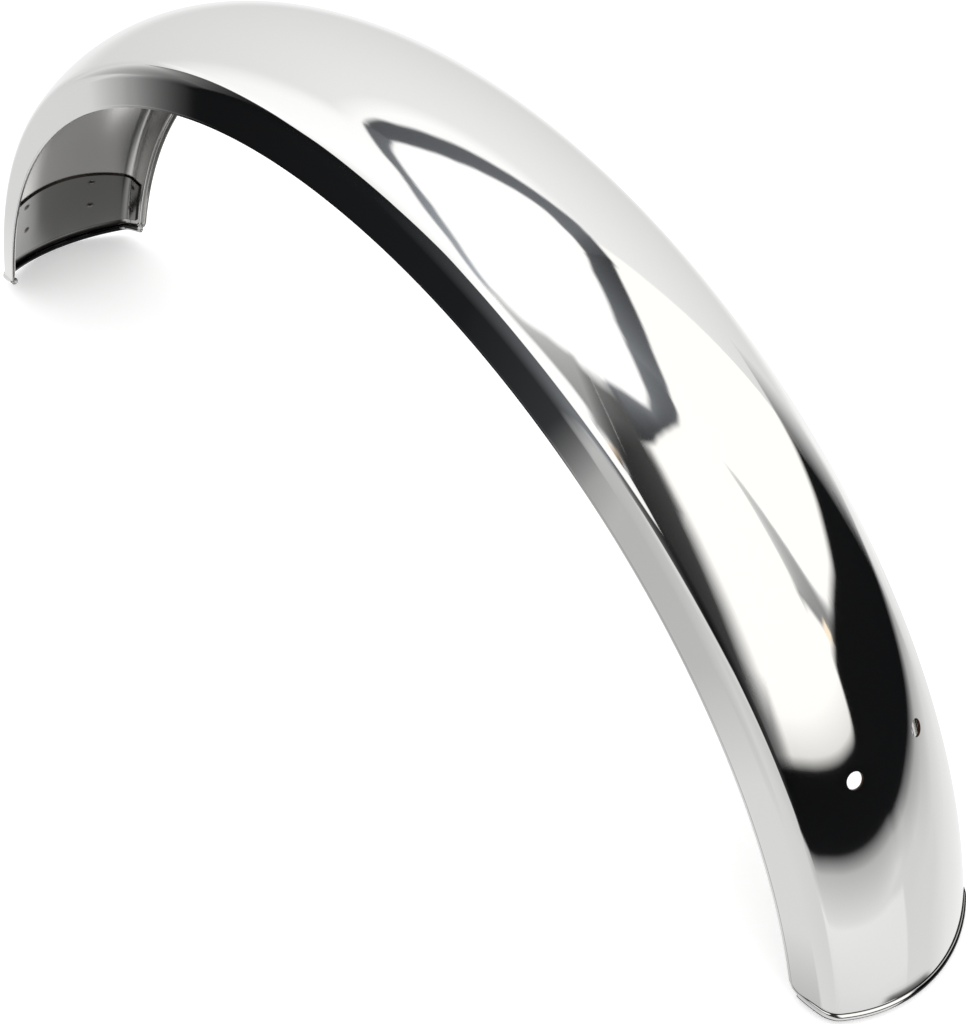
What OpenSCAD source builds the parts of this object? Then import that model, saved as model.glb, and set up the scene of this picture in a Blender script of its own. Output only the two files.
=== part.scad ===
/* [Arc over the wheel] */
// Radius of the outer face along the middle of the crown, from the wheel's axis
arc_r = 345; // [310:1:380]
// Angle that the crown covers between its two ends
arc_angle = 149.2; // [120:0.2:160]

/* [Cross section] */
// Radius of the crown's outer face across the mudguard
crown_r = 72; // [64:1:90]
// Width of the crown between the two shoulder bends
crown_w = 79; // [66:1:86]
// Outside radius of the shoulder bends
shoulder_r = 10; // [6:0.5:14]
// Slope of the side flanges, 90 being straight down
flange_slope = 80.5; // [76:0.5:84]
// Flat of a side flange, from its bend to the middle of its rolled edge
flange_l = 12.6; // [9:0.2:20]
// Thickness of the steel sheet
sheet_t = 1; // [0.8:0.1:1.4]

/* [Rolled edge] */
// Radius of the roll that runs round the whole edge
roll_r = 2.2; // [1.9:0.1:2.8]
// How far the roll stands proud of the outer face
roll_proud = 1; // [0.6:0.1:1.4]
// Distance from a corner at which the roll starts to turn
corner_run = 5.4; // [3:0.2:7]

/* [Ends] */
// Slant of the cut at the end with the stay holes
hole_end_slant = 18; // [8:1:28]
// Slant of the cut at the stiffened end
plate_end_slant = 32; // [20:1:38]

/* [Stay holes] */
// Diameter of the two holes
hole_d = 7; // [5:0.5:10]
// Distance between the holes across the crown
hole_gap = 36; // [24:1:46]
// Distance of the holes from their end, along the crown
hole_back = 108; // [60:1:150]

/* [Stiffening plate] */
// Thickness of the plate inside the far end
plate_t = 1; // [0.8:0.1:2]
// Clearance between the plate and the sheet that it is spot welded to
plate_clear = 0.05; // [0.02:0.01:0.15]
// Distance of the plate's straight edge from the end, along the crown
plate_reach = 59; // [45:1:80]
// Distance of the plate's slanted edge from the end
plate_back = 5.8; // [4:0.2:9]
// How far the plate runs down each flange past the bend
plate_down = 5.4; // [3:0.2:6.4]
// Diameter of a spot weld's dimple
weld_d = 4; // [3:0.2:5]
// Depth of a dimple
weld_deep = 0.3; // [0.2:0.05:0.5]
// Distance of the crown's dimples from the middle line
weld_side = 22.5; // [14:0.5:28]
// Distance of the two rows of dimples from the plate's straight edge
weld_rows = [6.5, 28]; // [4:0.5:34]

/* [Hidden] */
$fn = 180;
// Steps of the crown from its middle to a bend, of a bend, and round the roll
crown_steps = 9;
bend_steps = 7;
roll_steps = 40;

half_angle = arc_angle / 2;
function degrees_along(l) = l / arc_r * 180 / PI;

// Cross section: angle of the crown at its bends and the middle of the bend's arc
bend_slope = asin(crown_w / 2 / crown_r);
bend_y = (crown_r - shoulder_r) * sin(bend_slope);
bend_depth = crown_r - (crown_r - shoulder_r) * cos(bend_slope);

// Middle of the roll: its depth under the outer face, and its place at the foot of a flange
roll_in = roll_r - roll_proud;
foot_y = bend_y + (shoulder_r - roll_in) * sin(flange_slope) + flange_l * cos(flange_slope);
foot_depth = bend_depth - (shoulder_r - roll_in) * cos(flange_slope) + flange_l * sin(flange_slope);
foot_r = arc_r - foot_depth;

// The roll is a touch fuller in its tight bends, and the lengths beside them run on into them
bend_fuller = 0.05;
bend_roll_r = roll_r + bend_fuller;
bend_lap = 0.4;

// Size that clears the whole mudguard, for cutting blocks, and the turn of sheet left for the cuts
far = 2 * arc_r;
spare_turn = 1;

// An end's cut plane is described by the slant t; s is the distance down it from the crown
function down_cut(t, depth) = arc_r * cos(t) - sqrt(pow(arc_r - depth, 2) - pow(arc_r * sin(t), 2));

// Angle between the cut plane's foot and the place where the roll leaves the flange's foot
function foot_turn(t) = atan2(corner_run, foot_r)
    + asin(arc_r * sin(t) / sqrt(foot_r * foot_r + corner_run * corner_run));
// Angle along the arc at which the roll leaves the flange's foot to turn the corner
function foot_end(t) = half_angle + t - foot_turn(t);

// Roll's middle line in a cut plane, as [distance across, distance down the cut]
function roll_top(t) = [0, down_cut(t, roll_in)];
function roll_bend(t) = [(crown_r - roll_in) * sin(bend_slope),
    down_cut(t, crown_r - (crown_r - roll_in) * cos(bend_slope))];
function roll_flat(t) = [bend_y + (shoulder_r - roll_in) * sin(flange_slope),
    down_cut(t, bend_depth - (shoulder_r - roll_in) * cos(flange_slope))];
function roll_corner(t) = [foot_y,
    arc_r * cos(t) - foot_r * cos(foot_turn(t)) - corner_run * sin(foot_turn(t))];

// Arc over the crown in the cut plane: slope where it ends, and its radius
function top_slope(t) = 2 * atan2(roll_bend(t)[1] - roll_top(t)[1], roll_bend(t)[0]);
function top_r(t) = roll_bend(t)[0] / sin(top_slope(t));
// Slope of the flange in the cut plane, and the radius of the arc that meets it
function side_slope(t) = atan2(roll_corner(t)[1] - roll_flat(t)[1], roll_corner(t)[0] - roll_flat(t)[0]);
function side_r(t) = ((roll_corner(t)[0] - roll_bend(t)[0]) * sin(side_slope(t))
    - (roll_corner(t)[1] - roll_bend(t)[1]) * cos(side_slope(t)))
    / (1 - cos(side_slope(t) - top_slope(t)));
function side_middle(t) = roll_bend(t) + side_r(t) * [-sin(top_slope(t)), cos(top_slope(t))];
function side_end(t) = side_middle(t) + side_r(t) * [sin(side_slope(t)), -cos(side_slope(t))];

// Bend of the roll round a corner: how far it turns, its radius and its tilt
function corner_turn(t) = acos(sin(foot_turn(t)) * sin(side_slope(t)));
function corner_r(t) = corner_run / tan(corner_turn(t) / 2);
function corner_tilt(t) = atan2(sin(side_slope(t)) * cos(foot_turn(t)), -cos(side_slope(t)));

// The part stands on the crown's two ends, midway between them
end_drop = arc_r * cos(half_angle)
    - roll_top(hole_end_slant)[1] * cos(half_angle + hole_end_slant) - roll_r;
hole_end_x = arc_r * sin(half_angle)
    - roll_top(hole_end_slant)[1] * sin(half_angle + hole_end_slant);
plate_end_x = arc_r * sin(half_angle)
    - roll_top(plate_end_slant)[1] * sin(half_angle + plate_end_slant);
middle_x = (hole_end_x - plate_end_x) / 2;

// Points along an arc, in steps small enough to read as round
function arc_points(middle, radius, from, to, steps) =
    [for (i = [0 : steps]) let (at = from + (to - from) * i / steps)
        middle + radius * [cos(at), sin(at)]];

// Half of a face of the sheet at a depth under the outer face, from the middle line to a foot
function half_face(depth, flat) = concat(
    arc_points([arc_r - crown_r, 0], crown_r - depth, 0, bend_slope, crown_steps),
    arc_points([arc_r - bend_depth, bend_y], shoulder_r - depth, bend_slope, flange_slope, bend_steps),
    [[arc_r - bend_depth, bend_y] + (shoulder_r - depth) * [cos(flange_slope), sin(flange_slope)]
        + flat * [-sin(flange_slope), cos(flange_slope)]]);
function backwards(points) = [for (i = [len(points) - 1 : -1 : 0]) points[i]];
function mirrored(points) = [for (p = points) [p[0], -p[1]]];

// Cross section of a sheet that lies inset under the outer face, with flats of the given length
module sheet_section(inset, t, flat) {
    outer = half_face(inset, flat);
    inner = half_face(inset + t, flat);
    polygon(concat(backwards(mirrored(outer)), outer, backwards(inner), mirrored(inner)));
}

// Carries a cross section round the wheel's axis from one angle to another, both from the top
module round_wheel(from, to) {
    rotate([90, 0, 0]) rotate([0, 0, 90 - to])
        rotate_extrude(angle = to - from, $fn = 360) children();
}

// Places its children at an end's cut plane, x being square to the cut and z up along it
module at_end(t) {
    rotate([0, half_angle, 0]) translate([0, 0, arc_r]) rotate([0, t, 0]) children();
}

// Everything on the far side of a cut that lies back from the end
module beyond_cut(t, back) {
    at_end(t) translate([-back, -far / 2, -far / 2]) cube([far, far, far]);
}

// Angle by which a piece of the roll of that radius runs on into the fuller bend next to it
function run_on(radius) = asin(bend_lap / radius);

// Roll along an arc of the cut plane, its angles measured from straight up
module roll_arc(radius, from, to, r) {
    rotate([0, -90, 0]) rotate([0, 0, from])
        rotate_extrude(angle = to - from) translate([radius, 0]) circle(r, $fn = roll_steps);
}

// Places its children where the roll leaves the flange's foot, x along it and y into the turn
module at_corner(t) {
    translate([-corner_run * cos(foot_turn(t)), foot_y,
        -roll_corner(t)[1] - corner_run * sin(foot_turn(t))])
        rotate([corner_tilt(t), -foot_turn(t), 0]) children();
}

// Half of the roll on an end: the shoulder, the flange and the corner
module roll_side(t) {
    straight = norm(roll_corner(t) - side_end(t)) - corner_run;
    translate([0, side_middle(t)[0], -side_middle(t)[1]])
        roll_arc(side_r(t), top_slope(t), side_slope(t), bend_roll_r);
    translate([0, side_end(t)[0], -side_end(t)[1]]) rotate([270 - side_slope(t), 0, 0])
        translate([0, 0, -bend_lap]) cylinder(h = straight + 2 * bend_lap, r = roll_r, $fn = roll_steps);
    at_corner(t) translate([0, corner_r(t), 0]) rotate([0, 0, -90])
        rotate_extrude(angle = corner_turn(t)) translate([corner_r(t), 0])
            circle(bend_roll_r, $fn = roll_steps);
}

// Rolls along the feet of the two flanges
module foot_rolls() {
    lap = run_on(foot_r);
    round_wheel(-foot_end(plate_end_slant) - lap, foot_end(hole_end_slant) + lap)
        for (side = [-1, 1]) translate([foot_r, side * foot_y]) circle(roll_r, $fn = roll_steps);
}

// Whole roll on an end
module end_roll(t) {
    top_half = top_slope(t) + run_on(top_r(t));
    at_end(t) {
        translate([0, 0, -roll_top(t)[1] - top_r(t)]) roll_arc(top_r(t), -top_half, top_half, roll_r);
        for (side = [0, 1]) mirror([0, side, 0]) roll_side(t);
    }
}

// What is cut off the sheet's corners, outside the middle of the roll
module corner_waste(t) {
    turn = corner_turn(t);
    radius = corner_r(t);
    reach = 2 * (corner_run + radius);
    at_end(t) for (side = [0, 1]) mirror([0, side, 0])
        at_corner(t) translate([0, 0, -2 * roll_r]) linear_extrude(4 * roll_r)
            translate([0, radius]) difference() {
                polygon([[0, 0], [0, -reach], reach * [sin(turn / 2), -cos(turn / 2)],
                    reach * [sin(turn), -cos(turn)]]);
                circle(radius);
            }
}

// Places its children on the crown's cross section centre, z pointing out through the sheet
module on_crown(along, across) {
    rotate([0, along, 0]) translate([0, 0, arc_r - crown_r])
        rotate([-asin(across / crown_r), 0, 0]) children();
}

// Places its children on a shoulder bend's centre, z pointing out where the flange begins
module on_shoulder(along, side) {
    rotate([0, along, 0]) translate([0, side * bend_y, arc_r - bend_depth])
        rotate([-side * flange_slope, 0, 0]) children();
}

module stand_on_ends() {
    translate([-middle_x, 0, -end_drop]) children();
}

// Sheet, rolled edge and stay holes, all one piece
module mudguard_blade() {
    hole_at = half_angle - degrees_along(hole_back);
    color("gainsboro") stand_on_ends() difference() {
        union() {
            difference() {
                round_wheel(-half_angle - spare_turn, half_angle + spare_turn)
                    sheet_section(0, sheet_t, flange_l);
                beyond_cut(hole_end_slant, 0);
                mirror([1, 0, 0]) beyond_cut(plate_end_slant, 0);
                corner_waste(hole_end_slant);
                mirror([1, 0, 0]) corner_waste(plate_end_slant);
            }
            foot_rolls();
            end_roll(hole_end_slant);
            mirror([1, 0, 0]) end_roll(plate_end_slant);
        }
        for (side = [-1, 1]) on_crown(hole_at, side * hole_gap / 2)
            translate([0, 0, crown_r - 3 * sheet_t]) cylinder(h = 4 * sheet_t, d = hole_d);
    }
}

// Plate that is spot welded inside the far end, with a dimple at each weld
module stiffening_plate() {
    inset = sheet_t + plate_clear;
    plate_edge = -half_angle + degrees_along(plate_reach);
    inner = inset + plate_t - weld_deep;
    color("silver") stand_on_ends() difference() {
        round_wheel(-half_angle - spare_turn, plate_edge) sheet_section(inset, plate_t, plate_down);
        mirror([1, 0, 0]) beyond_cut(plate_end_slant, plate_back);
        for (row = weld_rows, side = [-1, 1]) {
            row_at = plate_edge - degrees_along(row);
            on_crown(row_at, side * weld_side)
                translate([0, 0, crown_r - inner - plate_t]) cylinder(h = plate_t, d = weld_d);
            on_shoulder(row_at, side)
                translate([0, 0, shoulder_r - inner - plate_t]) cylinder(h = plate_t, d = weld_d);
        }
    }
}

mudguard_blade();
stiffening_plate();
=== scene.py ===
import bpy
import numpy as np
from mathutils import Matrix


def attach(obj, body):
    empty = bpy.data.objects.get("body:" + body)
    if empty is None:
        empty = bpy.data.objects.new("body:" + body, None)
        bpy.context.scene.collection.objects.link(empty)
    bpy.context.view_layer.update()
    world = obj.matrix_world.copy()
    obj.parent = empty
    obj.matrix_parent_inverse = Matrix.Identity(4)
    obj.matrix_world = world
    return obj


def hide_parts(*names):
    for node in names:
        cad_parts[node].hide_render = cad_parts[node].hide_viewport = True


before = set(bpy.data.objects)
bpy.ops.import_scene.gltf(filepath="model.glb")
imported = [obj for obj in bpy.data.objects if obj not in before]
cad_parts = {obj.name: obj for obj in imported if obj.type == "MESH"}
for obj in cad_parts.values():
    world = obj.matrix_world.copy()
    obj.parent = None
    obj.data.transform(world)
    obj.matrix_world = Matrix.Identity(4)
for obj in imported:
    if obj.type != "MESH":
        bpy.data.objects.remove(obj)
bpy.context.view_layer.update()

# The mudguard's form in mm and degrees, from the CAD model. The arc runs round the wheel's axis.
ARC_R, HALF_ARC = 345.0, 74.6
CROWN_R, CROWN_W, SHOULDER_R = 72.0, 79.0, 10.0
FLANGE_SLOPE, FLANGE_L, SHEET_T = 80.5, 12.6, 1.0
ROLL_R, ROLL_PROUD, CORNER_RUN = 2.2, 1.0, 5.4
HOLED_SLANT, PLATED_SLANT = 18.0, 32.0
HOLE_D, HOLE_GAP, HOLE_BACK = 7.0, 36.0, 108.0
PLATE_T, PLATE_CLEAR, PLATE_REACH, PLATE_BACK, PLATE_DOWN = 1.0, 0.05, 59.0, 5.8, 5.4
WELD_D, WELD_DEEP, WELD_SIDE, WELD_ROWS = 4.0, 0.3, 22.5, (6.5, 28.0)

# The fillet between roll and sheet, how proud the roll is along the feet, and how far down the flange's
# flat it starts to sink to that
FILLET_R, FOOT_PROUD, SINK_FROM = 0.8, 0.25, 2.0
# How far each fillet goes on along the sheet's face past its end, and how deep it dips into the sheet there
LEAD_ON, LEAD_DEEP = 0.5, 0.02

# Columns of a half section: on the crown, on the bend and on the flange's flat
BLADE_COLUMNS, ROLL_COLUMNS, PLATE_COLUMNS = (40, 16, 6), (40, 16, 12), (58, 26, 8)
# Rows along the arc, and points round a corner, down the flat's last run, round a fillet and round the roll
BLADE_ROWS, PLATE_ROWS, FOOT_ROWS = 420, 90, 300
CORNER_STEPS, RUN_STEPS, FILLET_STEPS, ROLL_STEPS = 24, 9, 7, 34
# Rings of cells round a hole, and half the square they fill in hole radii
HOLE_RINGS, HOLE_SQUARE = 5, 1.9

# Millimetres in a metre, and radians of slack for rounding where the bend starts
MM, SLACK = 1000, 1e-9


def rad(degrees):
    """Degrees as radians."""
    return np.radians(degrees)


def ease(value, low, high):
    """0 below low, 1 above high and a smooth rise between: 3 share^2 - 2 share^3."""
    share = np.clip((value - low) / (high - low), 0, 1)
    return share * share * (3 - 2 * share)


BEND = np.arcsin(CROWN_W / 2 / CROWN_R)
FLANK = rad(FLANGE_SLOPE)
BEND_Y = (CROWN_R - SHOULDER_R) * np.sin(BEND)
BEND_IN = CROWN_R - (CROWN_R - SHOULDER_R) * np.cos(BEND)
ROLL_IN = ROLL_R - ROLL_PROUD
HALF = rad(HALF_ARC)


def section(slope, flat, inset):
    """Radius from the wheel's axis and distance across, at a slope and a way down the flange's flat.

    On the crown r = ARC_R - CROWN_R + (CROWN_R - inset) cos(slope), y = (CROWN_R - inset) sin(slope).
    On the bend the arc's middle is (ARC_R - BEND_IN, BEND_Y) and its radius SHOULDER_R - inset, and the
    flange goes on from there along its tangent. A negative slope is the other side.
    """
    side, slope = np.where(slope < 0, -1.0, 1.0), np.abs(slope)
    crown = slope <= BEND + SLACK
    radius = np.where(crown, CROWN_R, SHOULDER_R) - inset
    middle_r = np.where(crown, ARC_R - CROWN_R, ARC_R - BEND_IN)
    r = middle_r + radius * np.cos(slope) - flat * np.sin(FLANK)
    y = np.where(crown, 0.0, BEND_Y) + radius * np.sin(slope) + flat * np.cos(FLANK)
    return r, side * y


def girth(slope, flat):
    """Distance across from the middle as the sheet runs: along the crown, round the bend, down the flat."""
    size = np.abs(slope)
    bent = np.maximum(size - BEND, 0)
    return np.sign(slope) * (CROWN_R * np.minimum(size, BEND) + SHOULDER_R * bent + flat)


def cut_angle(r, slant, back=0.0):
    """Angle from the top at which radius r meets the cut plane of an end.

    The plane meets the crown at HALF with the given slant t to the radius, so
    angle = HALF + t - asin((ARC_R sin(t) + back) / r), where back is a distance in from the plane.
    """
    return HALF + rad(slant) - np.arcsin((ARC_R * np.sin(rad(slant)) + back) / r)


# The part stands on the rolls of its two ends, and its box is centred: where that puts the wheel's axis
top_r = ARC_R - ROLL_IN
ends = [cut_angle(top_r, slant) for slant in (HOLED_SLANT, PLATED_SLANT)]
END_DROP = top_r * np.cos(ends[0]) - ROLL_R
MIDDLE_X = top_r * (np.sin(ends[0]) - np.sin(ends[1])) / 2


def place(angle, r, y):
    """Points in metres from the angle from the top, the radius and the way across.

    x = r sin(angle) - MIDDLE_X and z = r cos(angle) - END_DROP.
    """
    x, z = r * np.sin(angle) - MIDDLE_X, r * np.cos(angle) - END_DROP
    return np.stack(np.broadcast_arrays(x, y, z), -1) / MM


def outward(angle, slope):
    """Unit normal of the sheet: (cos(slope) sin(angle), sin(slope), cos(slope) cos(angle))."""
    return np.stack(np.broadcast_arrays(
        np.cos(slope) * np.sin(angle), np.sin(slope), np.cos(slope) * np.cos(angle)), -1)


def mesh_object(name, points, faces, normals, material, smooth=True):
    """Object from points in metres, faces as rows of point numbers and, if given, one normal a point."""
    mesh = bpy.data.meshes.new(name)
    mesh.from_pydata(points.tolist(), [], faces.tolist())
    mesh.update()
    if smooth:
        mesh.shade_smooth()
    if normals is not None:
        mesh.normals_split_custom_set_from_vertices(normals.tolist())
    mesh.materials.append(material)
    made = bpy.data.objects.new(name, mesh)
    bpy.context.collection.objects.link(made)
    return made


def grid_faces(rows, columns, wrap_rows=False, wrap_columns=False, start=0, turned=False):
    """Quads of a grid of points numbered row by row from start; turned reverses their winding."""
    row = np.arange(rows if wrap_rows else rows - 1)[:, None]
    column = np.arange(columns if wrap_columns else columns - 1)[None, :]
    next_row, next_column = (row + 1) % rows, (column + 1) % columns
    quads = np.stack(np.broadcast_arrays(
        row * columns + column, next_row * columns + column,
        next_row * columns + next_column, row * columns + next_column), -1).reshape(-1, 4) + start
    return quads[:, ::-1] if turned else quads


def band(first, second):
    """Quads between two closed rings of point numbers."""
    return np.stack([first, np.roll(first, -1), np.roll(second, -1), second], -1)


def border_of(numbers):
    """The ring of point numbers round the border of a grid of them."""
    return np.concatenate([numbers[0, :-1], numbers[:-1, -1], numbers[-1, :0:-1], numbers[:0:-1, 0]])


def facing(points, faces, normals):
    """The faces with their corners in the order that makes them face along the normals."""
    a, b, c = points[faces[:, 0]], points[faces[:, 1]], points[faces[:, 2]]
    away = (np.cross(b - a, c - a) * normals[faces[:, 0]]).sum(1) < 0
    return np.where(away[:, None], faces[:, ::-1], faces)


def half_columns(crown, bend, flat, flat_l, run):
    """Slopes and flat lengths of the columns from the middle to the foot, closer together in the last run."""
    down = np.linspace(0, flat_l - run, flat)[1:]
    if run:
        last = flat_l - run * np.cos(np.linspace(0, np.pi / 2, RUN_STEPS))
        down = np.concatenate([down, last[1:]])
    slopes = np.concatenate([np.linspace(0, BEND, crown), np.linspace(BEND, FLANK, bend)[1:],
                             np.full(len(down), FLANK)])
    return slopes, np.concatenate([np.zeros(crown + bend - 1), down])


def both_sides(slopes, flats):
    """Columns of the whole section from those of its half, with the middle one once."""
    return np.concatenate([-slopes[:0:-1], slopes]), np.concatenate([flats[:0:-1], flats])


def corner(slant):
    """Angles and flat lengths along the roll's turn at a corner of the blade.

    In the flange's plane, with a = distance back along the foot and b = distance up the flange from the
    corner, the foot is b = 0 and the end is a straight line; an arc of tangent length CORNER_RUN joins them.
    """
    foot_r, _ = section(FLANK, FLANGE_L, ROLL_IN)
    up_r, _ = section(FLANK, FLANGE_L - CORNER_RUN, ROLL_IN)
    foot_angle = cut_angle(foot_r, slant)
    along_end = np.array([foot_r * (foot_angle - cut_angle(up_r, slant)), CORNER_RUN])
    along_end /= np.linalg.norm(along_end)
    along_foot = np.array([1.0, 0.0])
    between = np.arccos(along_end @ along_foot)
    towards = along_end + along_foot
    middle = towards / np.linalg.norm(towards) * CORNER_RUN / np.cos(between / 2)
    first = CORNER_RUN * along_end - middle
    across = np.array([-first[1], first[0]])
    turn = np.linspace(0, np.pi - between, CORNER_STEPS)[:, None]
    arc = middle + np.cos(turn) * first + np.sin(turn) * across
    return foot_angle - arc[:, 0] / foot_r, FLANGE_L - arc[:, 1]


def end_line(slant, slopes, flats):
    """Angle at which each column of the sheet ends, its corner rounded as the roll's."""
    r, _ = section(slopes, flats, ROLL_IN)
    turn_angle, turn_flat = corner(slant)
    rounded = np.interp(flats, turn_flat, turn_angle)
    return np.where(flats > FLANGE_L - CORNER_RUN, rounded, cut_angle(r, slant))


def sheet_grid(inset, slopes, flats, low, high, rows, sign):
    """Angles, points and normals of a face of the sheet, low and high being each column's end angles."""
    angle = low + (high - low) * np.linspace(0, 1, rows)[:, None]
    r, y = section(slopes, flats, inset)
    return angle, place(angle, r, y), sign * outward(angle, np.broadcast_to(slopes, angle.shape))


def pierce(angle, slopes, inset, points, normals, holes, sign):
    """Cuts round holes in a grid: the cells round each give way to rings of cells out to their border.

    A hole is a circle in the sheet's own lengths, a = ARC_R (angle - its angle) along and
    b = CROWN_R (slope - its slope) across, and ring k of n is share k / n of the way from the border to it.
    Returns the points, normals, quads kept and added, and each hole's rim as point numbers.
    """
    rows, columns = angle.shape
    numbers = np.arange(rows * columns).reshape(rows, columns)
    keep = np.ones((rows - 1, columns - 1), bool)
    points, normals = points.reshape(-1, 3), normals.reshape(-1, 3)
    around = HOLE_D / 2 * HOLE_SQUARE
    added, rims = [], []
    for hole_angle, hole_slope in holes:
        a = ARC_R * (angle - hole_angle)
        b = CROWN_R * (slopes - hole_slope) + 0 * angle
        i, j = np.nonzero((np.abs(a) < around) & (np.abs(b) < around))
        i0, i1, j0, j1 = i.min(), i.max(), j.min(), j.max()
        keep[i0:i1, j0:j1] = False
        outer = border_of(numbers[i0:i1 + 1, j0:j1 + 1])
        edge = np.stack([a.ravel()[outer], b.ravel()[outer]], -1)
        heading = np.arctan2(edge[:, 1], edge[:, 0])
        circle = HOLE_D / 2 * np.stack([np.cos(heading), np.sin(heading)], -1)
        for ring in range(1, HOLE_RINGS + 1):
            share = ring / HOLE_RINGS
            along, across = (edge * (1 - share) + circle * share).T
            ring_angle, ring_slope = hole_angle + along / ARC_R, hole_slope + across / CROWN_R
            r, y = section(ring_slope, 0, inset)
            inner = len(points) + np.arange(len(outer))
            points = np.concatenate([points, place(ring_angle, r, y)])
            normals = np.concatenate([normals, sign * outward(ring_angle, ring_slope)])
            added.append(band(outer, inner))
            outer = inner
        rims.append(outer)
    quads = grid_faces(rows, columns)[keep.reshape(-1)]
    return points, normals, np.concatenate([quads] + added), rims


class Nodes:
    """A material's node tree, whose number sockets can be written into sums."""

    def __init__(self, name):
        self.material = bpy.data.materials.new(name)
        self.material.use_nodes = True
        self.tree = self.material.node_tree
        self.tree.nodes.clear()

    def node(self, kind, settings=None, **inputs):
        """A node of a kind, with its settings first and then its sockets, by name or as i and a number."""
        made = self.tree.nodes.new(kind)
        for key, value in (settings or {}).items():
            setattr(made, key, value)
        for key, value in inputs.items():
            by_number = key[0] == "i" and key[1:].isdigit()
            socket = made.inputs[int(key[1:]) if by_number else key.replace("_", " ")]
            if isinstance(value, Value):
                self.tree.links.new(value.socket, socket)
            else:
                socket.default_value = value
        return made

    def value(self, socket):
        """A socket of the tree as a Value."""
        return Value(self, socket)


class Value:
    """A node's output that can be added to, multiplied and so on."""

    def __init__(self, nodes, socket):
        self.nodes, self.socket = nodes, socket

    def math(self, operation, *others):
        """The outcome of a Math node on this value and others."""
        inputs = {f"i{n}": value for n, value in enumerate((self,) + others)}
        made = self.nodes.node("ShaderNodeMath", {"operation": operation}, **inputs)
        return Value(self.nodes, made.outputs[0])

    def __add__(self, other):
        return self.math("ADD", other)

    def __mul__(self, other):
        return self.math("MULTIPLY", other)

    def __sub__(self, other):
        return self.math("SUBTRACT", other)

    def __rsub__(self, other):
        return (self * -1.0) + other

    __radd__ = __add__
    __rmul__ = __mul__


# Noise of the brush lines to the radian along the arc, and of the clouds of duller and brighter steel to the
# metre across and to the radian along
LINES_ALONG, CLOUDS_ACROSS, CLOUDS_ALONG = 6.0, 22.0, 5.0


def steel(name, colour, roughness, brush, uneven=0.0, stain_and_shade_colour=None):
    """Polished sheet with faint brush lines that run round the wheel's axis.

    brush is the lines to the metre and their depth in metres, uneven how much the clouds change the
    roughness, and the last argument the colour, for weld stains and painted shade, that a point attribute
    mixes in as its share.
    """
    steel_nodes = Nodes(name)
    node, value = steel_nodes.node, steel_nodes.value
    parts = node("ShaderNodeSeparateXYZ", None, i0=value(node("ShaderNodeTexCoord").outputs["Object"]))
    x, y, z = (value(parts.outputs[axis]) for axis in "XYZ")
    x, z = x + MIDDLE_X / MM, z + END_DROP / MM
    radius = (x * x + z * z).math("SQRT")
    angle = x.math("ARCTAN2", z)
    lines, depth = brush
    stretched = node("ShaderNodeCombineXYZ", None, i0=radius * lines, i1=y * lines, i2=angle * LINES_ALONG)
    grain = node("ShaderNodeTexNoise", {"noise_dimensions": "3D"}, Vector=value(stretched.outputs[0]),
                 Scale=1.0, Detail=3.0, Roughness=0.6)
    bump = node("ShaderNodeBump", None, Height=value(grain.outputs["Fac"]), Strength=1.0, Distance=depth)
    cloud = node("ShaderNodeCombineXYZ", None, i0=radius * CLOUDS_ACROSS, i1=y * CLOUDS_ACROSS,
                 i2=angle * CLOUDS_ALONG)
    soft = node("ShaderNodeTexNoise", {"noise_dimensions": "3D"}, Vector=value(cloud.outputs[0]),
                Scale=1.0, Detail=1.0)
    base = (*colour, 1)
    if stain_and_shade_colour:
        mark = node("ShaderNodeAttribute", {"attribute_name": "stain_and_shade"})
        tint = node("ShaderNodeMix", {"data_type": "RGBA"}, i0=value(mark.outputs["Fac"]),
                    i6=(*colour, 1), i7=(*stain_and_shade_colour, 1))
        base = value(tint.outputs[2])
    shader = node("ShaderNodeBsdfPrincipled", None, Metallic=1.0, Base_Color=base,
                  Roughness=roughness + (value(soft.outputs["Fac"]) - 0.5) * uneven,
                  Normal=value(bump.outputs[0]))
    node("ShaderNodeOutputMaterial", None, Surface=value(shader.outputs[0]))
    return steel_nodes.material


def set_stain_and_shade(piece, amount):
    """Writes each point's share, from 0 to 1, of its steel's dark colour, for weld stains and painted shade.
    """
    marks = piece.data.attributes.new("stain_and_shade", "FLOAT", "POINT")
    marks.data.foreach_set("value", amount.astype(np.float32).ravel())


def distance_to(points, line):
    """Distance in mm from each point to the nearest point of a line."""
    return MM * np.linalg.norm(points[:, None] - line[None], axis=2).min(axis=1)


# Brush lines to the metre with their depth in metres, and the colours of clean steel, of weld stains and
# # painted shade, and of the roll's near-black painted shade
FINE, COARSE = (1500.0, 1.5e-6), (1200.0, 5e-6)
BRIGHT, STAIN_AND_SHADE, ROLL_SHADE = (0.88, 0.878, 0.868), (0.03, 0.026, 0.024), (0.012, 0.012, 0.013)
polished = steel("polished_steel", BRIGHT, 0.045, FINE, 0.02, STAIN_AND_SHADE)
dull = steel("dull_steel", (0.70, 0.69, 0.67), 0.2, COARSE, 0.12, STAIN_AND_SHADE)
welded = steel("welded_steel", (0.27, 0.268, 0.26), 0.16, COARSE, 0.12, STAIN_AND_SHADE)
# Near-black brown walls for the holes: painted shade inside them
hole_shade = steel("hole_edge", (0.06, 0.035, 0.02), 0.4, COARSE)
# The roll's steel mixes in near-black painted shade where its point attribute asks for it
beaded = steel("beaded_steel", BRIGHT, 0.045, FINE, 0.02, ROLL_SHADE)

# Blade: outer and inner faces of the sheet, pierced by the stay holes
hole_angle = HALF - HOLE_BACK / ARC_R
hole_slope = np.arcsin(HOLE_GAP / 2 / CROWN_R)
holes = [(hole_angle, side * hole_slope) for side in (-1, 1)]


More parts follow.
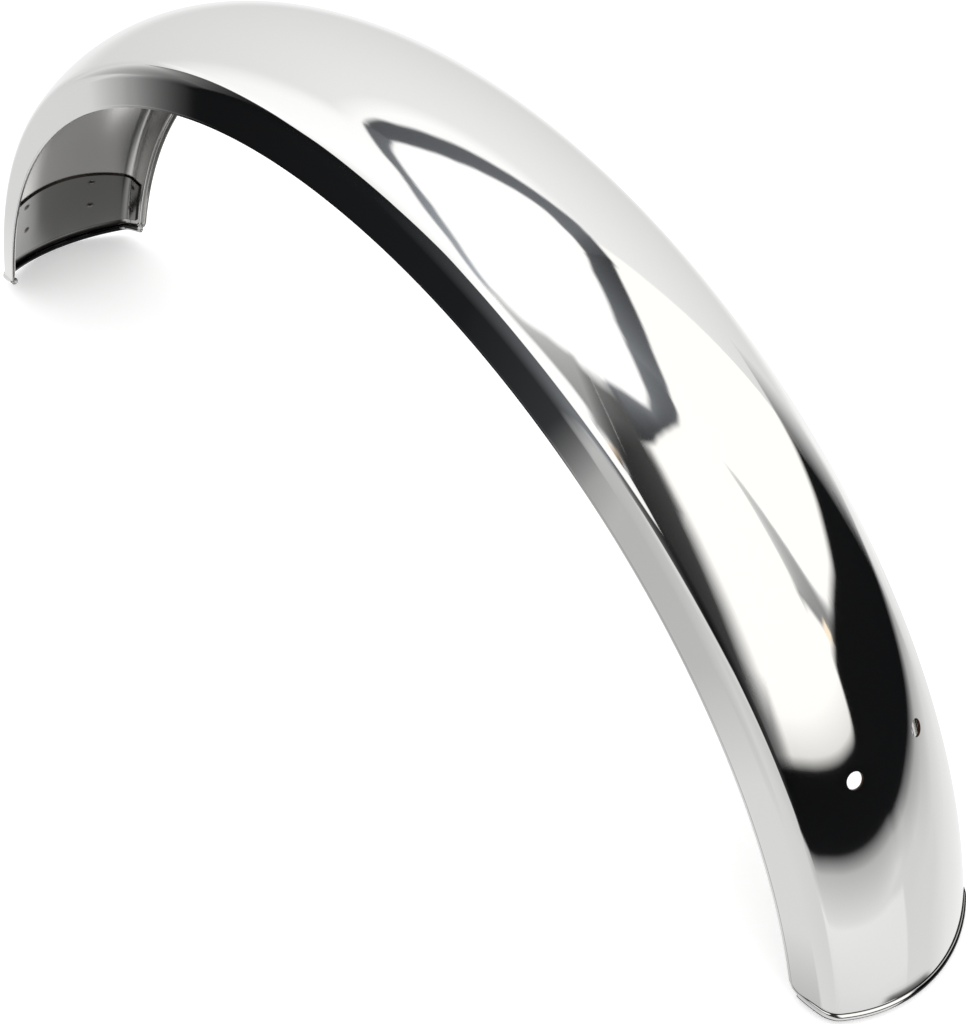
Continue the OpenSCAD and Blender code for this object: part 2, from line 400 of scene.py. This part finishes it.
def blade_face(inset, sign):
    """A face of the blade's sheet, inset from its outside, with its holes: the section turned end to end."""
    slopes, flats = both_sides(*half_columns(*BLADE_COLUMNS, FLANGE_L, CORNER_RUN))
    low, high = -end_line(PLATED_SLANT, slopes, flats), end_line(HOLED_SLANT, slopes, flats)
    angle, points, normals = sheet_grid(inset, slopes, flats, low, high, BLADE_ROWS, sign)
    return pierce(angle, slopes, inset, points, normals, holes, sign)


outer_points, outer_normals, outer_faces, outer_rims = blade_face(0.0, 1)
blade_outer = mesh_object("blade_outer", outer_points, facing(outer_points, outer_faces, outer_normals),
                          outer_normals, polished)
inner_points, inner_normals, inner_faces, inner_rims = blade_face(SHEET_T, -1)
blade_inner = mesh_object("blade_inner", inner_points, facing(inner_points, inner_faces, inner_normals),
                          inner_normals, dull)

# Walls of the two holes, from the outer rim to the inner, facing their axes
walls, wall_normals, wall_faces, start = [], [], [], 0
for outer_rim, inner_rim, (angle, slope) in zip(outer_rims, inner_rims, holes):
    middle = place(angle, *section(slope, 0, SHEET_T / 2))
    ring = np.stack([outer_points[outer_rim], inner_points[inner_rim]])
    towards = middle - ring
    axis = outward(angle, slope)
    towards -= (towards @ axis)[..., None] * axis
    walls.append(ring.reshape(-1, 3))
    wall_normals.append((towards / np.linalg.norm(towards, axis=-1, keepdims=True)).reshape(-1, 3))
    wall_faces.append(grid_faces(2, len(outer_rim), wrap_columns=True, start=start))
    start += 2 * len(outer_rim)
walls, wall_normals, wall_faces = map(np.concatenate, (walls, wall_normals, wall_faces))
hole_walls = mesh_object("hole_walls", walls, facing(walls, wall_faces, wall_normals), wall_normals, hole_shade)


# Rolled edge: one profile carried round the whole edge
def rim_path():
    """Closed path of the roll's middle, as angles, slopes and flat lengths.

    It goes from the holed end's middle to its +Y corner, back along the foot, up the plated end to its
    middle, and home the same way on the other side, where the slopes are negative.
    """
    slopes, flats = half_columns(*ROLL_COLUMNS, FLANGE_L - CORNER_RUN, 0)
    r, _ = section(slopes, flats, ROLL_IN)
    halves = []
    for end, slant in ((1, HOLED_SLANT), (-1, PLATED_SLANT)):
        turn_angle, turn_flat = corner(slant)
        halves.append((end * np.concatenate([cut_angle(r, slant)[:-1], turn_angle]),
                       np.concatenate([slopes[:-1], np.full(len(turn_flat), FLANK)]),
                       np.concatenate([flats[:-1], turn_flat])))
    (angle0, slope0, flat0), (angle1, slope1, flat1) = halves
    foot = np.linspace(angle0[-1], angle1[-1], FOOT_ROWS)[1:-1]
    angle = np.concatenate([angle0, foot, angle1[::-1]])
    slope = np.concatenate([slope0, np.full(len(foot), FLANK), slope1[::-1]])
    flat = np.concatenate([flat0, np.full(len(foot), FLANGE_L), flat1[::-1]])
    back = slice(-2, 0, -1)
    return (np.concatenate([angle, angle[back]]), np.concatenate([slope, -slope[back]]),
            np.concatenate([flat, flat[back]]))


def circle_of(radius, turn):
    """Points of a circle round the middle as p and q, and the way they face."""
    return np.stack([radius * np.cos(turn), radius * np.sin(turn), np.cos(turn), np.sin(turn)], -1)


def roll_fillet(h):
    """Fillet from the sheet's face, at q = h, to the roll, and the turn at which it meets the roll.

    A fillet of radius f that touches the line q = h and the circle of radius R has its middle at
    p = -sqrt((R + f)^2 - (h + f)^2), q = h + f. Its points face its middle. The first point is a little
    way back along the sheet.
    """
    p, q = -np.sqrt((ROLL_R + FILLET_R) ** 2 - (h + FILLET_R) ** 2), h + FILLET_R
    meet = np.arctan2(q, p)
    bend = circle_of(FILLET_R, np.linspace(-np.pi / 2, meet - np.pi, FILLET_STEPS, axis=-1))
    bend[..., 2:] *= -1
    bend[..., 0] += p[:, None]
    bend[..., 1] += q[:, None]
    lead = np.stack([p - LEAD_ON, h - LEAD_DEEP, 0 * h, 0 * h + 1], -1)
    return np.concatenate([lead[:, None], bend], 1), meet


def roll_profile(roll_in):
    """Profiles of the roll, roll_in under the outer face, with the fillets that join it to the sheet.

    Each point is p out past the edge and q out of the sheet, from the roll's middle, and the way it faces.
    """
    over, meet_over = roll_fillet(roll_in)
    under, meet_under = roll_fillet(SHEET_T - roll_in)
    roll = circle_of(ROLL_R, np.linspace(meet_over, -meet_under, ROLL_STEPS, axis=-1)[:, 1:-1])
    return np.concatenate([over, roll, under[:, ::-1] * [1, -1, 1, -1]], 1)


path_angle, path_slope, path_flat = rim_path()
roll_in = ROLL_IN + (ROLL_PROUD - FOOT_PROUD) * ease(path_flat, SINK_FROM, FLANGE_L)
path_r, path_y = section(path_slope, path_flat, roll_in)
path = place(path_angle, path_r, path_y)
out = outward(path_angle, path_slope)
ahead = np.roll(path, -1, 0) - np.roll(path, 1, 0)
ahead -= (ahead * out).sum(1, keepdims=True) * out
ahead /= np.linalg.norm(ahead, axis=1, keepdims=True)
aside = np.cross(ahead, out)
profile = roll_profile(roll_in)
p, q, p_facing, q_facing = np.split(profile, 4, 2)
rim_points = (path[:, None] + (p * aside[:, None] + q * out[:, None]) / MM).reshape(-1, 3)
rim_normals = (p_facing * aside[:, None] + q_facing * out[:, None]).reshape(-1, 3)
rim_faces = facing(rim_points, grid_faces(*profile.shape[:2], wrap_rows=True), rim_normals)
rolled_edge = mesh_object("rolled_edge", rim_points, rim_faces, rim_normals, beaded)

# Painted shade and painted dark reflection on the roll, set by the degrees it faces to (90 out of the sheet,
# 0 past the edge, -90 in) and by its place. The ends' own starts at the corners and is full CORNER_FADE mm
# on, and at the plated end it stops PLATED_Y from the middle.
CORNER_FADE, PLATED_Y, PLATED_FADE = 5, 43, 4
# The holed end is dark up to HOLED_TOP at NEAR_Y and HOLED_MORE further over at FAR_Y and beyond
HOLED_TOP, HOLED_MORE, HOLED_FADE, NEAR_Y, FAR_Y = 84, 58, 10, -24, -6
# The plated end is dark up to PLATED_TOP, and the feet are half dark up to FOOT_TOP
PLATED_TOP, FOOT_TOP, TOP_FADE, FOOT_DARK = 20, -20, 20, 0.5
# The outer fillet's crease gets painted shade too, and along the feet more so towards the holed end
GROOVE_DARK, FOOT_GROOVE_DARK, GROOVE_FROM, GROOVE_TO = 0.9, 0.4, -0.2, 0.5

faces_to = np.degrees(np.arctan2(profile[:, :, 3], profile[:, :, 2]))
groove = np.zeros(faces_to.shape)
groove[:, 2:FILLET_STEPS] = 1
row_angle, row_y = path_angle[:, None], path_y[:, None]
at_holed = ease(ARC_R * (row_angle - corner(HOLED_SLANT)[0].min()), 0, CORNER_FADE)
at_plated = ease(ARC_R * (-row_angle - corner(PLATED_SLANT)[0].min()), 0, CORNER_FADE)
at_plated = at_plated * ease(PLATED_Y - np.abs(row_y), 0, PLATED_FADE)
at_foot = (1 - at_holed) * (1 - at_plated)
holed_top = HOLED_TOP + HOLED_MORE * ease(row_y, NEAR_Y, FAR_Y)
foot_dark = FOOT_DARK * ease(FOOT_TOP - faces_to, 0, TOP_FADE)
foot_groove = FOOT_GROOVE_DARK * groove * ease(row_angle, GROOVE_FROM, GROOVE_TO)
set_stain_and_shade(rolled_edge, np.max([at_holed * ease(holed_top - faces_to, 0, HOLED_FADE),
                               at_holed * groove * GROOVE_DARK,
                               at_plated * ease(PLATED_TOP - faces_to, 0, TOP_FADE),
                               at_foot * (foot_dark + foot_groove)], axis=0))

# Painted shade on the crown beside the roll, and painted shade in the gap between the plate and the roll,
# each by its distance in mm
SHADE_FROM, SHADE_TO, SHADE_REACH, SHADE_FADE = -20, -5, 7.5, 4.5
GAP_Y, GAP_REACH, GAP_FADE = 40, 7, 1.5
# Metres past the plated end's roll up to which the inner face is looked at for the painted gap shade
NEAR_END = 0.01
shaded_path = path[(path_angle > 0) & (path_y > SHADE_FROM) & (path_y < SHADE_TO)]
set_stain_and_shade(blade_outer, ease(SHADE_REACH - distance_to(outer_points, shaded_path), 0, SHADE_FADE))
gap_path = path[(path_angle < 0) & (np.abs(path_y) < GAP_Y)]
near_end = inner_points[:, 0] < gap_path[:, 0].max() + NEAR_END
gap_shade = np.zeros(len(inner_points))
gap_shade[near_end] = ease(GAP_REACH - distance_to(inner_points[near_end], gap_path), 0, GAP_FADE)
set_stain_and_shade(blade_inner, gap_shade)

# Stiffening plate, with a dimple at each spot weld
plate_edge = -HALF + PLATE_REACH / ARC_R
welds = []
for row in WELD_ROWS:
    for side in (-1, 1):
        welds.append((plate_edge - row / ARC_R, side * np.arcsin(WELD_SIDE / CROWN_R)))
        welds.append((plate_edge - row / ARC_R, side * FLANK))
# A weld's stain is WELD_DARK at its middle, where only 1 of it counts, and WELD_PALER less at its rim
WELD_DARK, WELD_PALER = 1.6, 1.2
# Edges sharper than this many degrees stay sharp
SHARP = 40


def plate_face(inset, sign, dimpled):
    """A face of the plate, inset from the blade's outside, and its marks: painted shade along its edges and,
    if dimpled, weld stains.

    A dimple is flat to half its radius and from there rises as half a cosine wave.
    """
    slopes, flats = both_sides(*half_columns(*PLATE_COLUMNS, PLATE_DOWN, 0))
    r, _ = section(slopes, flats, inset)
    low = -cut_angle(r, PLATED_SLANT, PLATE_BACK)
    angle, points, normals = sheet_grid(inset, slopes, flats, low, plate_edge, PLATE_ROWS, sign)
    stain_and_shade = 0 * angle
    if dimpled:
        for weld_angle, weld_slope in welds:
            across = girth(slopes, flats) - girth(weld_slope, 0)
            away = np.hypot(ARC_R * (angle - weld_angle), across) / (WELD_D / 2)
            dip = WELD_DEEP * (0.5 + 0.5 * np.cos(np.pi * np.clip((away - 0.5) * 2, 0, 1)))
            points = points - normals * dip[..., None] / MM
            stain_and_shade = np.maximum(stain_and_shade, np.clip(WELD_DARK - WELD_PALER * away, 0, 1))
    # Painted shade: the border rows and columns go fully dark, a painted dark outline round the plate
    stain_and_shade[[0, -1]] = stain_and_shade[:, [0, -1]] = 1
    return points, stain_and_shade


inner_face, inner_stain_and_shade = plate_face(PLATE_CLEAR + SHEET_T + PLATE_T, -1, True)
outer_face, outer_edge_shade = plate_face(PLATE_CLEAR + SHEET_T, 1, False)
rows, columns = inner_stain_and_shade.shape
border = border_of(np.arange(rows * columns).reshape(rows, columns))
plate_points = np.concatenate([inner_face.reshape(-1, 3), outer_face.reshape(-1, 3)])
plate_faces = np.concatenate([grid_faces(rows, columns, turned=True),
                              grid_faces(rows, columns, start=rows * columns),
                              band(border, border + rows * columns)])
plate = mesh_object("plate", plate_points, plate_faces, None, welded)
set_stain_and_shade(plate, np.stack([inner_stain_and_shade, outer_edge_shade]))
plate.data.set_sharp_from_angle(angle=rad(SHARP))

for piece in (blade_outer, blade_inner, hole_walls, rolled_edge):
    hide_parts("mudguard_blade")
    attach(piece, "root")
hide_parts("stiffening_plate")
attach(plate, "root")

# Studio: what the polished steel mirrors, as cards far off that only reflections see. The farthest is
# FARTHEST metres off and each next one NEARER; FULL is the brightest tone, which glows WHITE.
FARTHEST, NEARER, FULL, GAMMA, WHITE = 40.5, 0.5, 255.0, 2.2, 1.18
PLAIN, SLATE, WARM = (1.0, 1.0, 1.0), (0.95, 1.0, 1.08), (1.0, 0.99, 0.965)
# Shares of a card's height at which its rows stand, the degrees from one column to the next, the fewest
# columns, and the weights that round the outlines' corners
CARD_ROWS, ROUNDING = np.array([0, 0, 0.2, 0.4, 0.6, 0.8, 1, 1])[:, None], [0.25, 0.5, 0.25]
CARD_STEP, CARD_COLUMNS = 1.5, 24
cards = []

glow_nodes = Nodes("card")
shade = glow_nodes.node("ShaderNodeAttribute", {"attribute_name": "shade"})
light = glow_nodes.node("ShaderNodeEmission", None, Color=glow_nodes.value(shade.outputs["Color"]))
clear = glow_nodes.node("ShaderNodeBsdfTransparent")
both = glow_nodes.node("ShaderNodeMixShader", None, i0=glow_nodes.value(shade.outputs["Alpha"]),
                       i1=glow_nodes.value(clear.outputs[0]), i2=glow_nodes.value(light.outputs[0]))
glow_nodes.node("ShaderNodeOutputMaterial", None, Surface=glow_nodes.value(both.outputs[0]))
glow = glow_nodes.material


def patch(name, azimuth, heights, tone, cover, tint=PLAIN):
    """Glowing mesh at these azimuths and heights in degrees, a little nearer than the last one.

    Each point glows (tone / FULL)^GAMMA WHITE times the tint, and covers what is behind it by its cover.
    """
    a, e = rad(np.broadcast_to(azimuth, heights.shape)), rad(heights)
    distance = FARTHEST - NEARER * len(cards)
    spots = distance * np.stack([np.cos(e) * np.sin(a), -np.cos(e) * np.cos(a), np.sin(e)], -1)
    made = mesh_object(name, spots.reshape(-1, 3), grid_faces(*heights.shape), None, glow, smooth=False)
    level = (tone / FULL).reshape(-1, 1) ** GAMMA * WHITE * np.array(tint)
    shades = np.concatenate([level, cover.reshape(-1, 1)], 1).astype(np.float32)
    made.data.attributes.new("shade", "FLOAT_COLOR", "POINT").data.foreach_set("color", shades.ravel())
    made.visible_camera = made.visible_diffuse = made.visible_shadow = made.visible_transmission = False
    cards.append(name)


def card(name, azimuth, low, high, tones, feather=(1.0, 1.0), sides=(1.0, 1.0), tint=PLAIN):
    """A card bent round the scene between two outlines, with soft edges.

    azimuth, low and high are in degrees, 0 being towards -Y, 90 towards +X. tones are the brightness of its
    bottom left, bottom right, top left and top right; feather softens its bottom and top, sides its two ends.
    Each edge fades from its feather inside the outline to its feather outside.
    """
    columns = max(CARD_COLUMNS, int((azimuth[-1] - azimuth[0]) / CARD_STEP))
    steps = np.linspace(azimuth[0], azimuth[-1], columns)
    share = np.linspace(0, 1, columns)
    low, high = (np.convolve(np.pad(np.interp(steps, azimuth, edge), 1, "edge"), ROUNDING, "valid")
                 for edge in (low, high))
    heights = low + feather[0] + (high - low - sum(feather)) * CARD_ROWS
    heights[0] -= 2 * feather[0]
    heights[-1] += 2 * feather[1]
    bottom, top = (tones[k] * (1 - share) + tones[k + 1] * share for k in (0, 2))
    tone = bottom * (1 - CARD_ROWS) + top * CARD_ROWS
    steps = steps + np.interp(share, [0, 1], [sides[0], -sides[1]])
    steps = np.concatenate([[steps[0] - 2 * sides[0]], steps, [steps[-1] + 2 * sides[1]]])
    heights, tone = (np.pad(grid, ((0, 0), (1, 1)), "edge") for grid in (heights, tone))
    cover = np.zeros(heights.shape)
    cover[1:-1, 1:-1] = 1
    patch(name, steps, heights, tone, cover, tint)


# Room: a white ceiling that falls off to pale walls, and a ground that darkens under the part
all_round = np.ones((91, 121))
height = np.linspace(-90, 90, all_round.shape[0])[:, None]
fall = np.interp(height, [-90, -60, -50, -16, 0, 20, 50, 66], [125, 140, 210, 205, 195, 226, 248, 255])
patch("room", np.linspace(-180, 180, all_round.shape[1]), height * all_round, fall * all_round, all_round)
# Pale wall and lit ground on the left and behind
card("wall_left", [-188, -86], [-9] * 2, [50] * 2, (212, 206, 232, 226), (4, 3), (5, 6))
card("ground_left", [-184, -92], [-57] * 2, [-8] * 2, (242, 244, 240, 222), (4, 4), (8, 6))
card("ground_far", [138, 188], [-56] * 2, [-27] * 2, (228, 232, 216, 224), (4, 4), (8, 6))
card("ground_near", [-134, -62], [-88] * 2, [-33] * 2, (245, 245, 250, 245), (2, 5), (8, 4))
card("ground_under", [52, 124], [-59] * 2, [-47] * 2, (240, 240, 240, 240), (2, 4), (6, 4))
card("ground_gap", [-50, -24, -14, 26], [-80] * 4, [-53, -53, -62, -64], (48, 60, 40, 60), (5, 2.5), (4, 8))
card("light_left", [-86, -52], [14] * 2, [60] * 2, (240, 252, 250, 255), (3, 5), (4, 8))
# Windows in front and on the right, and the light they throw on the ground
card("window_front", [-16, 8, 15, 34], [33, 33, 32, 31], [60] * 4, (252, 250, 252, 252), (1.5, 3), (4, 4))
card("window_right", [63, 172, 174, 178, 185], [4, 4, 22, 37, 48], [62] * 5, (253, 252, 255, 253),
     (1, 3), (9, 0.8), WARM)
card("window_sill", [64, 114], [4] * 2, [17] * 2, (200, 212, 251, 252), (1, 2.5), (6, 2), WARM)
card("ground_dim", [58, 74, 100, 106, 112, 118], [-18.4, -19.2, -18.8, -18.2, -17, -16], [-6] * 6,
     (212, 210, 178, 168), (0.8, 4), (4, 3))
card("ground_shade", [120, 171], [-20] * 2, [-8] * 2, (202, 160, 160, 96), (3, 3), (8, 3))
card("ground_right", [60, 64, 74, 100, 106, 112.5, 114], [-34] * 7,
     [-18, -18.6, -19.2, -18.8, -18.4, -19, -19], (214, 220, 226, 222), (3, 0.8), (3, 0.6))
# Dark edge between the walls and the ceiling
card("edge_back", [-181, -172, -168], [49.8, 49.6, 51], [60, 58.8, 58.8], (72, 104, 84, 110),
     (0.8, 0.6), (1, 2), SLATE)
card("edge_left", [-172, -164, -156, -148, -140, -124, -108, -100, -92, -88],
     [49.6, 52.3, 54.3, 55.8, 56.6, 57.4, 56.4, 54.4, 54, 55],
     [58.8, 58.8, 60.5, 62.2, 63.4, 64.5, 63.4, 62.1, 60.1, 59.6], (106, 78, 110, 86),
     (0.8, 0.6), (2, 1), SLATE)
card("edge_front", [-91, -84, -76, -68, -60, -52, -36, -28, -12, -6],
     [54, 56.4, 59, 61.8, 63, 63.4, 64.3, 64.4, 62.9, 62.8],
     [60, 60.6, 62.6, 64.4, 65.8, 67.1, 67.3, 67.0, 65.0, 64.5], (92, 172, 104, 176),
     (0.5, 0.6), (1, 4), SLATE)
card("edge_pale", [-10, 4, 12, 20, 28, 38], [62.6, 61.8, 61.3, 60.2, 58.6, 55],
     [64.5, 65, 66.5, 68, 68.3, 69], (194, 142, 200, 166), (0.8, 1), (4, 3))
card("edge_right", [58, 70, 78, 90, 102, 110, 118, 126, 130],
     [57.5, 58.2, 59.5, 60, 59.4, 58.4, 58.4, 60.2, 60.5],
     [68.3, 67.6, 66.4, 64, 65.3, 67, 68.2, 69, 69.3], (54, 100, 122, 116), (0.6, 0.8), (4, 3), SLATE)
card("edge_far", [124, 134, 142, 150, 158, 166, 174, 181],
     [60, 60.5, 60.3, 59.2, 57.8, 55.9, 53.2, 49.8],
     [69, 69.6, 69.5, 68.5, 67.3, 65.8, 64, 60.3], (106, 62, 122, 84), (0.6, 0.8), (3, 0.6), SLATE)
# Haze beside the dark things, and the dark things round the room
card("haze_low", [-33, -22], [-46, -41], [-10, -6], (70, 176, 70, 176), (4, 2), (1, 0.5))
card("haze_mid", [-22.5, 14], [-44, -30], [-8, 20], (176, 196, 174, 182), (4, 2), (0.5, 5))
card("haze_left", [-68.5, -62], [-30] * 2, [-8] * 2, (206, 148, 204, 150), (1, 1.5), (2, 0.5))
card("haze_high", [-84, -62], [-10] * 2, [8] * 2, (206, 138, 208, 100), (1.5, 3), (4, 0.5))
card("haze_turn", [-62.6, -56], [-30] * 2, [2] * 2, (150, 34, 110, 24), (1, 2), (0.6, 0.6))
card("black_tip", [-80, -75, -71, -68, -62, -56], [2, 2, 1, 0, -2, -4], [8, 14.5, 18, 20, 22.5, 25],
     (205, 70, 110, 20), (6, 0.8), (1, 1))
card("black_left", [-57, -52, -48, -40, -33.5], [-30, -32, -33, -34, -34], [25, 26.5, 30, 32.5, 34.4],
     (26, 34, 22, 30), (3.5, 0.8), (0.4, 0.4), SLATE)
card("black_mid", [-34.5, -33, -29.5, -27.5, -20.5, -15, -9, -4, 1, 5, 12, 18],
     [-34, -34, -32, -29.5, -20.5, -12.5, -4, 4, 11, 16, 19, 21],
     [34, 34.5, 36, 37, 39, 36, 34.5, 33, 32, 31.5, 31, 30.5], (38, 150, 32, 120),
     (3.5, 0.8), (0.4, 3), SLATE)
card("grey_bar", [13, 19, 25, 31, 40], [18, 15.5, 13, 11, 9.5], [30.5, 30.5, 30.5, 31, 33],
     (112, 14, 96, 34), (1.5, 1.2), (3, 1))
card("slate_left", [33, 37, 41, 45], [52, 51, 48, 45], [68.5, 68, 67.5, 67.3], (140, 44, 166, 114),
     (2, 1.5), (2, 0.5))
card("slate_right", [45, 50, 58, 64], [45, 44, 44, 44], [67.3, 67, 67, 66], (44, 36, 118, 88),
     (2, 2), (0.5, 3.5))
card("dark_upright", [37, 41, 44, 48, 54, 60, 65.5], [11, 8.8, 7.5, 5.5, 2, -3, -5],
     [36, 47, 52, 56, 57, 57, 56], (22, 52, 46, 66), (1.2, 3), (1.2, 5))
card("dark_foot", [58, 69], [-7] * 2, [20, 16], (26, 60, 60, 120), (1, 5), (2, 3))
card("lamp_front", [35.5, 40.8], [46.2] * 2, [50.6] * 2, (225, 70, 255, 150), (0.8, 0.8), (0.6, 0.8),
     (1.0, 0.82, 0.62))
card("grey_wedge", [114, 117, 119, 121, 123, 124.5, 127, 130], [26, 21, 18, 12, 12, 12, 12, 12],
     [29, 37, 41, 47.5, 44, 26, 20.5, 17.5], (150, 84, 205, 205), (1.5, 1.2), (1, 1))
card("black_low",
     [61, 68, 75, 85, 97, 107, 110, 112, 113.5, 115, 117, 126, 135, 141, 147, 153, 159, 165, 175],
     [-7, -9.2] + [-8.9] * 8 + [-9.5, -10, -10.6, -11.3, -12.3, -13.2, -14, -14.5, -14.5],
     [6, 7, 7.2, 7, 6.6, 6.6, 7.2, 8.6, 11.2, 15, 16.4, 17.6, 17.3, 16, 14.2, 13.2, 12, 10.3, 8.5],
     (26, 24, 18, 26), (1.7, 1.2), (3, 7), SLATE)
card("lamp_right", [117.8, 120.8], [17.4] * 2, [20.2] * 2, (250, 250, 250, 250), (0.5, 0.5), (0.5, 0.5),
     (1.0, 0.86, 0.66))

# World of plain white light
world = bpy.data.worlds.new("room")
bpy.context.scene.world = world
world.use_nodes = True
world.node_tree.nodes["Background"].inputs["Color"].default_value = (1, 1, 1, 1)
world.node_tree.nodes["Background"].inputs["Strength"].default_value = 1.0

# Floor of pale paper, lifted by a little glow that only the camera sees
PAPER, LIFT, FLOOR_HALF = 0.9, 0.4, 30.0
floor_nodes = Nodes("floor")
paper = floor_nodes.node("ShaderNodeBsdfDiffuse", None, Color=(PAPER, PAPER, PAPER, 1))
seen = floor_nodes.value(floor_nodes.node("ShaderNodeLightPath").outputs["Is Camera Ray"])
lift = floor_nodes.node("ShaderNodeEmission", None, Color=(1, 1, 1, 1), Strength=seen * LIFT)
lifted = floor_nodes.node("ShaderNodeAddShader", None, i0=floor_nodes.value(paper.outputs[0]),
                          i1=floor_nodes.value(lift.outputs[0]))
floor_nodes.node("ShaderNodeOutputMaterial", None, Surface=floor_nodes.value(lifted.outputs[0]))
corners = FLOOR_HALF * np.array([[-1, -1, 0], [1, -1, 0], [1, 1, 0], [-1, 1, 0]])
floor = mesh_object("floor", corners, np.array([[0, 1, 2, 3]]), None, floor_nodes.material, smooth=False)
floor.visible_glossy = False

# Camera fitted to the photograph: place in mm round the wheel's axis, rows right, down and forward, and
# focal length in pixels of the photograph, PHOTO_H pixels high
CAMERA_AT = (423.1868, -328.0336, 612.2402)
CAMERA_TURN = [[0.66654, 0.74521, 0.01952], [0.52445, -0.45015, -0.72271], [-0.52979, 0.49196, -0.69087]]
FOCAL, PHOTO_H, SENSOR = 1465.46, 1024, 36.0
right, down, forward = np.array(CAMERA_TURN)
at = (np.array(CAMERA_AT) - [MIDDLE_X, 0, END_DROP]) / MM
camera = bpy.data.objects.new("camera", bpy.data.cameras.new("camera"))
bpy.context.collection.objects.link(camera)
camera.matrix_world = Matrix(np.vstack([np.stack([right, -down, -forward, at], 1), [0, 0, 0, 1]]).tolist())
camera.data.sensor_fit = "AUTO"
camera.data.sensor_width = SENSOR
camera.data.lens = FOCAL / PHOTO_H * SENSOR
camera.data.clip_start, camera.data.clip_end = 0.01, 200.0
bpy.context.scene.camera = camera
bpy.context.scene.view_settings.view_transform = "Standard"
